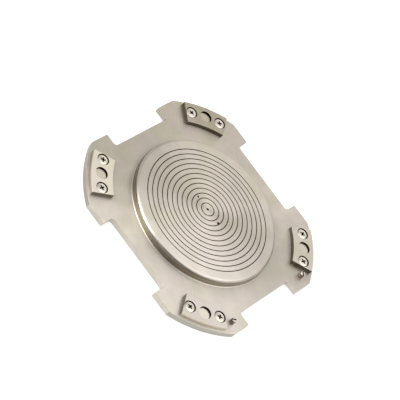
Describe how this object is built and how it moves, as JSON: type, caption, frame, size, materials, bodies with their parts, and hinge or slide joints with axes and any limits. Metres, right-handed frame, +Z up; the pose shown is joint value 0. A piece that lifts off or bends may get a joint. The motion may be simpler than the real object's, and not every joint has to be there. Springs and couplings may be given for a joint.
{
  "type": "vacuum chuck",
  "caption": "Grooved round vacuum disc on a lobed plate, with magnet blocks and locating pins that hold a film frame round the disc.",
  "frame": {"origin": "middle of the underside of the plate, on the axis of the vacuum disc", "axes": "+Z up out of the vacuum disc, +X towards the side with the two frame pins, +Y towards the back"},
  "size_m": [0.207, 0.207, 0.014],
  "materials": {
    "plate": "satin nickel plate with fine turning marks",
    "block": "satin nickel plate with brushed marks",
    "magnet": "matte nickel plate",
    "screw": "polished stainless steel",
    "pin": "ground and polished steel",
    "plug": "dark oxide",
    "seal": "matte black"
  },
  "bodies": {
    "root": {"base_plate": "plate", "magnet_block_front_right": "block", "magnet_block_back_right": "block", "magnet_block_back_left": "block", "magnet_block_front_left": "block", "magnet_front_right": "magnet", "magnet_back_right": "magnet", "magnet_back_left": "magnet", "magnet_front_left": "magnet", "block_screw_front_right_1": "screw", "block_screw_front_right_2": "screw", "block_screw_back_right_1": "screw", "block_screw_back_right_2": "screw", "block_screw_back_left_1": "screw", "block_screw_back_left_2": "screw", "block_screw_front_left_1": "screw", "block_screw_front_left_2": "screw", "frame_pin_front": "pin", "frame_pin_back": "pin", "gallery_plug": "plug", "port_seal": "seal"}
  },
  "joints": []
}
